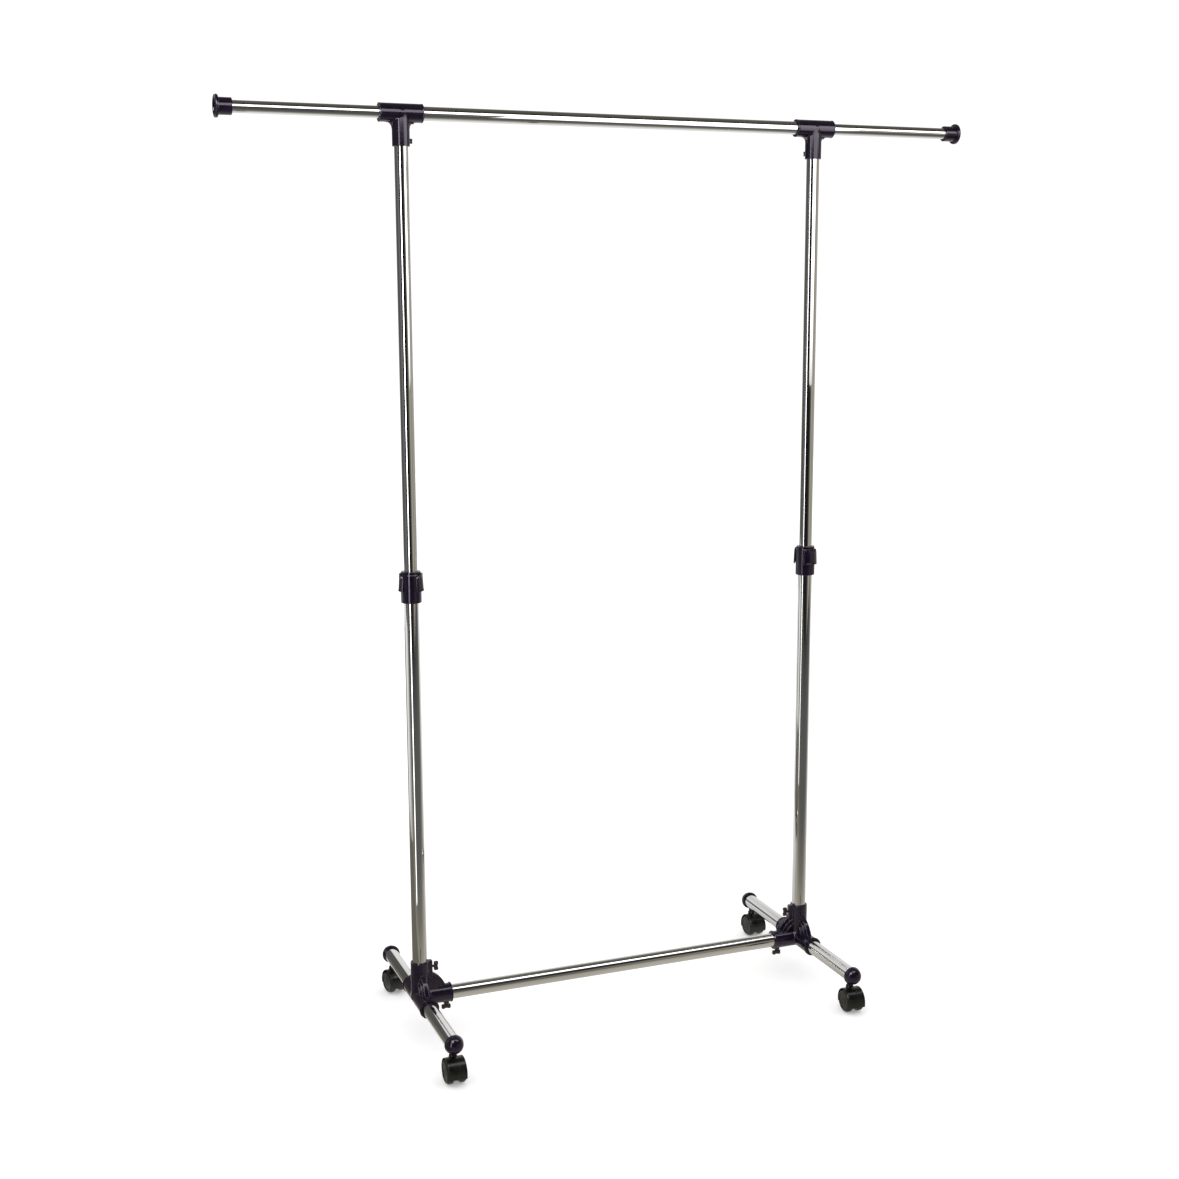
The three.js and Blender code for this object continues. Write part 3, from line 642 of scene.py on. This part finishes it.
TRAIL = 8.0
AXLE_HEIGHT = middle("caster_axle_left_front").z / MM
SPINE_HALF = 4.1
COWL_HALF = 15.5
COWL_INNER = 20.8
COWL_OUTER = 22.3
COWL_START = math.radians(-20)
COWL_END = math.radians(200)
DISC_RADIUS = 13.5
NECK_RADIUS = 5.2
NECK_FOOT = 37
NECK_TOP = BASE_Z / MM - BASE_TUBE / 2 - 0.4
RING_RADIUS = 6.6
RING = (39.5, 44.5)
STEM_RADIUS = 3.9
GROOVE_RADIUS = 3.2
STEM_BORE = 4.2
STEM_BORE_FLOOR = 40.2
AXLE_RADIUS = 2.4
AXLE_HALF = 14
AXLE_BORE = 2.6


def hood_shape(x, y, z):
    """The cowl over both wheels, the spine between them and the neck round the stem."""
    back, up = -(y + TRAIL), z - AXLE_HEIGHT
    reach = np.hypot(back, up)
    below_start = back * math.sin(COWL_START) - up * math.cos(COWL_START)
    past_end = up * math.cos(COWL_END) - back * math.sin(COWL_END)
    wedge = np.minimum(below_start, past_end)
    skin = np.abs(reach - (COWL_INNER + COWL_OUTER) / 2) - (COWL_OUTER - COWL_INNER) / 2
    cowl = rounded(rounded(skin, np.abs(x) - COWL_HALF, 0.6), wedge, 0.6)
    flank = np.abs(x) - SPINE_HALF
    web = rounded(rounded(reach - COWL_OUTER + 0.5, flank, 0.5), wedge, 0.5)
    disc = rounded(reach - DISC_RADIUS, flank, 0.8)
    from_stem = np.hypot(x, y)
    neck = rod(from_stem, z, NECK_RADIUS, NECK_FOOT, NECK_TOP, 0.6)
    ring = rod(from_stem, z, RING_RADIUS, *RING, 1.2)
    neck = np.maximum(fuse(neck, ring, 1.0), COWL_INNER - reach)
    body = fuse(fuse(fuse(cowl, web, 1.0), disc, 1.0), neck, 2.0)
    body = carve(body, rod(from_stem, z, STEM_BORE, STEM_BORE_FLOOR, 80, 0.1), 0.4)
    return carve(body, reach - AXLE_BORE, 0.4)


def wheel_mesh():
    """A crowned tread, a raised lip round a dished face, and a domed hub, about +Z with the face at +Z."""
    inner, outer = SPINE_HALF + 0.6, 17.0
    radius = AXLE_HEIGHT
    return turned("wheel", [
        [0, 14.4, 0], [2.7, 14.4, 0.2], [2.7, inner, 0.3], [6, inner, 0.3], [6.4, inner + 0.8, 0.3],
        [radius - 4, inner + 0.8, 0.4], [radius - 3.4, inner, 0.4], [radius - 1.8, inner, 1.0],
        [radius - 0.15, inner + 2.6, 1.2], [radius, 9, 2.5], [radius - 0.1, 13.0, 2.0],
        [radius - 2.6, 16.2, 1.2], [radius - 4.2, outer, 0.6], [radius - 5.6, outer, 0.5],
        [radius - 6.4, outer - 1.2, 0.6], [7.5, outer - 1.0, 0.8], [6.6, outer - 0.5, 0.5],
        [5.4, outer - 0.3, 0.5], [4.8, outer - 1.0, 0.5], [0, outer - 0.5, 0],
    ])


def stem_mesh(node):
    """A caster stem with its grip-ring groove and a domed end."""
    low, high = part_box(node)
    start, end = low.z / MM, high.z / MM
    return turned("caster_stem", [
        [0, start, 0], [STEM_RADIUS, start, 0.3], [STEM_RADIUS, end - 8, 0.2],
        [GROOVE_RADIUS, end - 7.6, 0.2], [GROOVE_RADIUS, end - 4, 0.2],
        [STEM_RADIUS, end - 3.6, 0.2], [STEM_RADIUS, end - 1.5, 0.6], [2.6, end, 0.6], [0, end, 0],
    ], 48, 3)


def axle_mesh():
    return turned("caster_axle", [
        [0, -AXLE_HALF, 0], [AXLE_RADIUS, -AXLE_HALF, 0.5], [AXLE_RADIUS, AXLE_HALF, 0.5], [0, AXLE_HALF, 0],
    ], 40, 3)


def casters():
    hood = moulded("caster_hood", hood_shape, (-16, -32, 5), (16, 16, 53), step=0.5)
    wheel, axle = wheel_mesh(), axle_mesh()
    stem = stem_mesh("caster_stem_left_front")
    for place in ("left_front", "right_front", "right_back", "left_back"):
        swivel = Vector(JOINTS[f"{place}_swivel"]["pos_m"])
        across = Vector(JOINTS[f"{place}_wheel_a_roll"]["axis"])
        centre = Vector(JOINTS[f"{place}_wheel_a_roll"]["pos_m"])
        turn = about("Z", math.degrees(math.atan2(across.y, across.x)))
        body = f"{place}_caster"
        foot = (swivel.x, swivel.y, 0)
        show(hood, f"caster_hood_{place}", body, foot, turn)
        show(stem, f"caster_stem_{place}", body, foot, turn)
        show(axle, f"caster_axle_{place}", body, centre, turn @ ALONG_X)
        show(wheel, f"caster_wheel_{place}_a", f"{place}_wheel_a", centre, turn @ about("Y", -90))
        show(wheel, f"caster_wheel_{place}_b", f"{place}_wheel_b", centre, turn @ ALONG_X)


# -------------------------------------------------------- height collars

COLLAR_RADIUS = 17.0
COLLAR_RIM = 16.2
COLLAR_TOP = 52.0
HINGE_HEIGHT = 44.0
HINGE_REACH = 15.7
LEVER_INNER = 17.7
LEVER_OUTER = 19.9
LEVER_BOTTOM = 19.5
LEVER_TOP = 48.5
LEVER_HALF = 15.0
LEVER_SHOULDER = 9.0
TUBE_SEAT = 33.8
GRIP_HOLLOW = 13.5
GRIP_HOLLOW_SPAN = (35, 49.6)
STUB_RADIUS = 1.1
STUB_BORE = 1.4
DISH_DEPTH = 0.55
DISH_SLOPE = 2.2


def collar_shape(x, y, z):
    """A stepped collar: the lower tube's seat, the post's bore above it, and pockets for the hinges."""
    across = np.hypot(x, y)
    shoulder = COLLAR_TOP - 5
    body = rod(across, z, COLLAR_RADIUS, 0, shoulder, 1.2)
    body = fuse(body, rod(across, z, COLLAR_RIM, 10, COLLAR_TOP, 1.0), 0.8)
    body = carve(body, rod(across, z, BASE_TUBE / 2 + FIT, -10, TUBE_SEAT, 0.1))
    body = carve(body, rod(across, z, POST_TUBE / 2 + FIT, -10, 90, 0.1))
    body = carve(body, rod(across, z, GRIP_HOLLOW, *GRIP_HOLLOW_SPAN, 0.1), 0.3)
    from_hinge = np.hypot(np.abs(x) - HINGE_REACH, z - HINGE_HEIGHT)
    body = carve(body, rod(from_hinge, y, STUB_BORE, -4.2, 4.2, 0.1), 0.2)
    pocket_height = (HINGE_HEIGHT - 2.5, HINGE_HEIGHT + 2.5)
    pockets = slab(np.abs(x), np.abs(y), z, ((14.3, 25), (3.9, 8.3), pocket_height), 0.2)
    return carve(body, pockets, 0.3)


def lever_shape(x, y, z):
    """A press lever on the +X side, with an arched top, a raised border and two ears with stubs."""
    across = np.hypot(x, y)
    side = np.abs(y) - LEVER_HALF
    corner_y = np.abs(y) - LEVER_HALF + LEVER_SHOULDER
    corner_z = z - LEVER_TOP + LEVER_SHOULDER
    arch = np.where((corner_y > 0) & (corner_z > 0), np.hypot(corner_y, corner_z) - LEVER_SHOULDER,
                    np.maximum(side, z - LEVER_TOP))
    outline = np.maximum(np.maximum(arch, LEVER_BOTTOM - z), 2 - x)
    dish = np.clip(-outline / DISH_SLOPE - 0.5, 0, 1) * DISH_DEPTH
    skin = np.abs(across - (LEVER_INNER + LEVER_OUTER) / 2) - (LEVER_OUTER - LEVER_INNER) / 2
    skin = np.maximum(skin, across - LEVER_OUTER + dish)
    body = rounded(skin, outline, 0.5)
    ears = slab(x, np.abs(y), z, ((14.6, 18.7), (4.2, 8), (HINGE_HEIGHT - 1.8, HINGE_HEIGHT + 1.8)), 0.4)
    stub_across = np.hypot(x - HINGE_REACH, z - HINGE_HEIGHT)
    stubs = rod(stub_across, np.abs(y), STUB_RADIUS, 2.6, 4.6, 0.3)
    return fuse(fuse(body, ears, 0.5), stubs, 0.2)


def collars():
    collar = moulded("height_collar", collar_shape, (-18, -18, -1), (18, 18, 53), step=0.5)
    lever = moulded("release_lever", lever_shape, (10, -16, 17), (21, 16, 50), step=0.35)
    hinge = Matrix.Translation(Vector((HINGE_REACH, 0, HINGE_HEIGHT)) * MM)
    for side, outward in SIDES.items():
        at = (outward * POST_X, 0, COLLAR_Z)
        axis = Vector(JOINTS[f"{side}_front_lever_press"]["axis"])
        turn = about("Z", math.degrees(math.atan2(-axis.x, axis.y)))
        show(collar, f"height_collar_{side}", "base", at, turn)
        for word, half_turn in (("front", 0), ("back", 180)):
            joint = JOINTS[f"{side}_{word}_lever_press"]
            flare = about("Y", -joint["range_deg"][1])
            swing = turn @ about("Z", half_turn) @ hinge @ flare @ hinge.inverted()
            show(lever, f"release_lever_{side}_{word}", f"{side}_{word}_lever", at, swing)


# ------------------------------------------------------------------ tees

TEE_SLEEVE = 14.5
TEE_SOCKET = 14.0
TEE_LIP = 14.9
TEE_HALF = 35.0
TEE_DROP = 51.0
WEB_RADIUS = 9.0
WEB_HALF = 3.5
MOUTH = 1.5
POST_STOP = 18.7
TEE_SCREW_DROP = 42.5
TEE_SCREW_BORE = 1.8
RAIL_SCREW_X = 18.5
RAIL_SCREW_BORE = 1.65
RAIL_SCREW_SEAT = 3.1


def tee_shape(x, y, z):
    """In the right-hand tee's frame: the mouth at +X closes round the rod."""
    from_x, from_z = np.hypot(y, z), np.hypot(x, y)
    body = rod(from_x, x, TEE_SLEEVE, -TEE_HALF, TEE_HALF)
    body = fuse(body, rod(from_z, z, TEE_SOCKET, -TEE_DROP, 2, 0.8), 1.6)
    out, drop = np.abs(x) - TEE_SOCKET - WEB_RADIUS, -z - TEE_SLEEVE - WEB_RADIUS
    corner = np.maximum(np.maximum(out, drop), WEB_RADIUS - np.hypot(out, drop))
    body = fuse(body, rounded(np.maximum(corner, z), np.abs(y) - WEB_HALF, 0.6), 1.2)
    body = fuse(body, rod(from_x, np.abs(x), TEE_LIP, TEE_HALF - MOUTH, TEE_HALF, 0.7), 0.8)
    body = carve(body, rod(from_x, x, POST_TUBE / 2 + FIT, -2 * TEE_HALF, TEE_HALF - MOUTH, 0.1))
    body = carve(body, from_x - ROD_TUBE / 2 - 0.5, 0.5)
    body = carve(body, rod(from_z, z, POST_TUBE / 2 + FIT, -2 * TEE_DROP, -POST_STOP, 0.1))
    return carve(body, rod(np.hypot(y, z + TEE_SCREW_DROP), x, TEE_SCREW_BORE, -30, 0, 0.1), 0.3)


def tees():
    low, high = (-TEE_HALF - 1, -16, -TEE_DROP - 1), (TEE_HALF + 1, 16, 16)
    for side, outward in SIDES.items():
        def shape(x, y, z):
            body = tee_shape(outward * x, y, z)
            from_screw = np.hypot(x - RAIL_SCREW_X, y)
            body = carve(body, rod(from_screw, z, RAIL_SCREW_BORE, -20, -8, 0.1), 0.3)
            return carve(body, rod(from_screw, z, RAIL_SCREW_SEAT, -30, -TEE_SLEEVE, 0.1), 0.3)
        mesh = moulded(f"tee_{side}", shape, low, high, step=0.55)
        show(mesh, f"tee_{side}", "top_frame", (outward * POST_X, 0, RAIL_Z))


# --------------------------------------------------------- rod end caps

END_BARREL = 13.1
END_LENGTH = 26
END_DISC = 17.4


def end_caps():
    """Flanged caps about +Z, with the rod's socket below and a recess inside the disc's rim."""
    socket = ROD_TUBE / 2 + FIT
    mesh = turned("rod_end_cap", [
        [0, -6, 0], [socket, -6, 0], [socket, -END_LENGTH, 0.3], [END_BARREL, -END_LENGTH, 0.9],
        [END_BARREL, -5.5, 0.8], [END_DISC - 1, -5.5, 0.8], [END_DISC, -4.4, 1.0], [END_DISC, -1.2, 1.0],
        [16.2, 0, 1.0], [14.4, 0, 0.8], [13.6, -2.4, 0.6], [0, -2.6, 0],
    ])
    for side, outward in SIDES.items():
        low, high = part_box(f"rod_end_cap_{side}")
        at = (high.x if outward > 0 else low.x, 0, RAIL_Z)
        turn = about("Z", 180 if outward < 0 else 0) @ ALONG_X
        show(mesh, f"rod_end_cap_{side}", f"{side}_rod", at, turn)


def hidden_guides():
    """Guide bushes and grip sleeves stay as modelled, inside the tubes and collars."""
    for name, node in frame["nodes"].items():
        if NODE_SLOTS[name] == "guide_plastic":
            node.data.materials.clear()
            node.data.materials.append(MATERIALS["guide_plastic"])


# ----------------------------------------------------------- the studio

EYE = Vector((-1.0537, -2.5684, 1.2368))
YAW, PITCH, ROLL = math.radians(21.318), math.radians(-9.989), math.radians(-0.215)
FLOOR_REACH = 9
RAMP_DEGREES_PER_METRE = 45
MIX_A, MIX_B, MIX_RESULT = 6, 7, 2


def camera():
    forward = Vector((math.sin(YAW) * math.cos(PITCH), math.cos(YAW) * math.cos(PITCH), math.sin(PITCH)))
    level = Vector((math.cos(YAW), -math.sin(YAW), 0))
    upright = level.cross(forward)
    right = level * math.cos(ROLL) + upright * math.sin(ROLL)
    up = upright * math.cos(ROLL) - level * math.sin(ROLL)
    data = bpy.data.cameras.new("camera")
    data.lens = 50
    data.sensor_width = 36
    data.clip_start = 0.05
    data.clip_end = 60
    eye = bpy.data.objects.new("camera", data)
    bpy.context.scene.collection.objects.link(eye)
    eye.matrix_world = Matrix.Translation(EYE) @ Matrix((right, up, -forward)).transposed().to_4x4()
    bpy.context.scene.camera = eye


def floor():
    """White paper that lights up by itself, and that the chrome does not mirror."""
    far = FLOOR_REACH
    corners = [(-far, -far, 0), (far, -far, 0), (far, far, 0), (-far, far, 0)]
    mesh = mesh_from("floor", corners, [(0, 1, 2, 3)])
    plane = bpy.data.objects.new("floor", mesh)
    bpy.context.scene.collection.objects.link(plane)
    pale = bpy.data.materials.new("floor_pale")
    pale.use_nodes = True
    shader = pale.node_tree.nodes["Principled BSDF"]
    shader.inputs["Base Color"].default_value = (0.93, 0.93, 0.93, 1)
    shader.inputs["Roughness"].default_value = 0.9
    shader.inputs["Specular IOR Level"].default_value = 0.1
    shader.inputs["Emission Color"].default_value = (1, 1, 1, 1)
    shader.inputs["Emission Strength"].default_value = 0.22
    mesh.materials.append(pale)
    plane.visible_glossy = False


def bands(tree, value, stops):
    """A colour ramp over -180 to 180, from (degrees, grey or colour) stops."""
    scaled = spread(tree, value, 0, 1, -180, 180)
    ramp = tree.nodes.new("ShaderNodeValToRGB")
    elements = ramp.color_ramp.elements
    while len(elements) > 1:
        elements.remove(elements[-1])
    for i, (degrees, tone) in enumerate(stops):
        at = degrees / 360 + 0.5
        element = elements[0] if i == 0 else elements.new(at)
        element.position = at
        element.color = (*tone, 1) if isinstance(tone, tuple) else (tone, tone, tone, 1)
    link(tree, scaled, ramp.inputs["Fac"])
    return ramp.outputs["Color"]


def maths(tree, operation, a, b=None):
    node = tree.nodes.new("ShaderNodeMath")
    node.operation = operation
    for socket, value in zip(node.inputs, (a, b)):
        if value is None:
            continue
        if isinstance(value, (int, float)):
            socket.default_value = value
        else:
            link(tree, value, socket)
    return node.outputs["Value"]


def bearing(tree, a, b):
    """The angle of (a, b) in degrees, measured from b."""
    return maths(tree, "DEGREES", maths(tree, "ARCTAN2", a, b))


def mirrored_room(tree):
    """What the chrome mirrors: walls by bearing near the horizon, and floor and ceiling by slope."""
    place = tree.nodes.new("ShaderNodeTexCoord")
    split = tree.nodes.new("ShaderNodeSeparateXYZ")
    link(tree, place.outputs["Generated"], split.inputs["Vector"])
    turn = tree.nodes.new("ShaderNodeMapping")
    turn.inputs["Rotation"].default_value = (0, 0, YAW)
    link(tree, place.outputs["Generated"], turn.inputs["Vector"])
    turned_split = tree.nodes.new("ShaderNodeSeparateXYZ")
    link(tree, turn.outputs["Vector"], turned_split.inputs["Vector"])
    # Zero is towards the camera and positive to its right.
    around = bearing(tree, turned_split.outputs[0], maths(tree, "MULTIPLY", turned_split.outputs[1], -1))
    # Zero is level to the front, 90 straight up and 180 level to the back.
    over = bearing(tree, split.outputs[2], maths(tree, "MULTIPLY", split.outputs[1], -1))
    height = maths(tree, "DEGREES", maths(tree, "ARCSINE", split.outputs[2]))
    mix = tree.nodes.new("ShaderNodeMix")
    mix.data_type = "RGBA"
    link(tree, bands(tree, height, WALL_SHARE), mix.inputs["Factor"])
    link(tree, bands(tree, over, CEILING), mix.inputs[MIX_A])
    link(tree, bands(tree, around, WALLS), mix.inputs[MIX_B])
    mirrored = tree.nodes.new("ShaderNodeBackground")
    link(tree, mix.outputs[MIX_RESULT], mirrored.inputs["Color"])
    return mirrored


def studio():
    """A room that glossy surfaces see in bands, and that lights everything else evenly in white."""
    world = bpy.data.worlds.new("studio")
    bpy.context.scene.world = world
    world.use_nodes = True
    tree = world.node_tree
    tree.nodes.clear()
    even = tree.nodes.new("ShaderNodeBackground")
    even.inputs["Color"].default_value = (1, 1, 1, 1)
    even.inputs["Strength"].default_value = 1.08
    path = tree.nodes.new("ShaderNodeLightPath")
    choose = tree.nodes.new("ShaderNodeMixShader")
    link(tree, path.outputs["Is Glossy Ray"], choose.inputs[0])
    link(tree, even.outputs[0], choose.inputs[1])
    link(tree, mirrored_room(tree).outputs[0], choose.inputs[2])
    output = tree.nodes.new("ShaderNodeOutputWorld")
    link(tree, choose.outputs[0], output.inputs["Surface"])
    bpy.context.scene.view_settings.view_transform = "Standard"


def panel(name, corners, axis, stops, strength):
    """A flat light seen only in glossy surfaces, with (metres, tone) stops along one axis."""
    mesh = mesh_from(name, corners, [(0, 1, 2, 3)])
    glow = bpy.data.materials.new(name)
    glow.use_nodes = True
    tree = glow.node_tree
    tree.nodes.clear()
    place = tree.nodes.new("ShaderNodeTexCoord")
    split = tree.nodes.new("ShaderNodeSeparateXYZ")
    link(tree, place.outputs["Object"], split.inputs["Vector"])
    degrees = maths(tree, "MULTIPLY", split.outputs[axis], RAMP_DEGREES_PER_METRE)
    emission = tree.nodes.new("ShaderNodeEmission")
    tones = bands(tree, degrees, [(RAMP_DEGREES_PER_METRE * at, tone) for at, tone in stops])
    link(tree, tones, emission.inputs["Color"])
    emission.inputs["Strength"].default_value = strength
    output = tree.nodes.new("ShaderNodeOutputMaterial")
    link(tree, emission.outputs[0], output.inputs["Surface"])
    mesh.materials.append(glow)
    light = bpy.data.objects.new(name, mesh)
    bpy.context.scene.collection.objects.link(light)
    light.visible_camera = False
    light.visible_diffuse = False
    light.visible_shadow = False
    light.visible_transmission = False


def upright(name, start, end, low, high, stops, strength):
    """A standing panel between two floor points."""
    corners = [(*start, low), (*end, low), (*end, high), (*start, high)]
    panel(name, corners, 2, stops, strength)


def panels():
    """The cards and softboxes that the chrome and the mouldings mirror."""
    upright("strip_light", (-0.711, -0.546), (-0.789, -0.454), 0.0, 2.2, ((0.0, 0.35), (1.2, 1.0)), 6.5)
    upright("side_light", (0.08, -0.83), (0.86, -0.71), 1.05, 2.0, ((1.05, 0.3), (1.30, 1.0)), 2.8)
    upright("dark_card", (-0.95, 0.80), (-0.38, 0.80), 0.0, 0.55, ((0.0, 1.0), (1.0, 1.0)), 0.1)
    mat = [(-1.4, -0.3, -0.0005), (-0.42, -0.3, -0.0005), (-0.42, 0.8, -0.0005), (-1.4, 0.8, -0.0005)]
    panel("dark_mat", mat, 1, ((-0.3, OLIVE), (0.8, OLIVE)), 1.5)
    left = [(-1.9, -1.0, 1.9), (-1.1, -1.8, 1.9), (-0.9, -1.2, 2.7), (-1.5, -0.6, 2.7)]
    panel("left_softbox", left, 2, ((1.9, 1.0), (2.7, 1.0)), 9.0)
    overhead = [(-0.7, -0.70, 1.585), (1.3, -0.70, 1.585), (1.3, -0.53, 1.88), (-0.7, -0.53, 1.88)]
    panel("overhead_light", overhead, 2, ((1.4, 1.0), (2.0, 1.0)), 3.6)
    sheet = [(-4, -3, -0.001), (4, -3, -0.001), (4, 4, -0.001), (-4, 4, -0.001)]
    panel("paper_glow", sheet, 1, PAPER, 1.0)


BEIGE = (0.50, 0.47, 0.40)
OLIVE = (0.11, 0.105, 0.085)
WALLS = (
    (-180, 0.90), (-168, 0.60), (-150, 0.25), (-128, 0.12), (-90, 0.09), (-66, 0.18), (-48, 0.15),
    (-40, 0.03), (-30, 0.015), (12, 0.012), (24, 0.03), (36, 0.10), (46, (0.30, 0.28, 0.22)),
    (62, BEIGE), (80, (0.28, 0.26, 0.21)), (104, BEIGE), (130, (0.32, 0.30, 0.26)), (150, 0.60),
    (180, 0.85),
)
CEILING = (
    (-180, 0.9), (-100, BEIGE), (-45, OLIVE), (20, 0.05), (42, 0.02), (60, (0.075, 0.07, 0.06)),
    (80, OLIVE), (100, OLIVE), (122, (0.18, 0.17, 0.15)), (135, 0.33), (147, 0.75), (160, 0.95),
    (180, 0.95),
)
WALL_SHARE = ((-40, 0.0), (-30, 1.0), (10, 1.0), (20, 0.0))
PAPER = (
    (-3.0, 0.05), (-2.0, 0.10), (-1.1, 0.12), (-0.8, 0.13), (-0.5, (0.21, 0.20, 0.17)),
    (-0.15, (0.44, 0.41, 0.35)), (0.05, (0.58, 0.56, 0.50)), (0.35, 0.70), (0.7, 0.9), (3.5, 1.0),
)


tubes()
hubs()
screws()
rail_screws()
foot_caps()
casters()
collars()
tees()
end_caps()
hidden_guides()
floor()
camera()
studio()
panels()
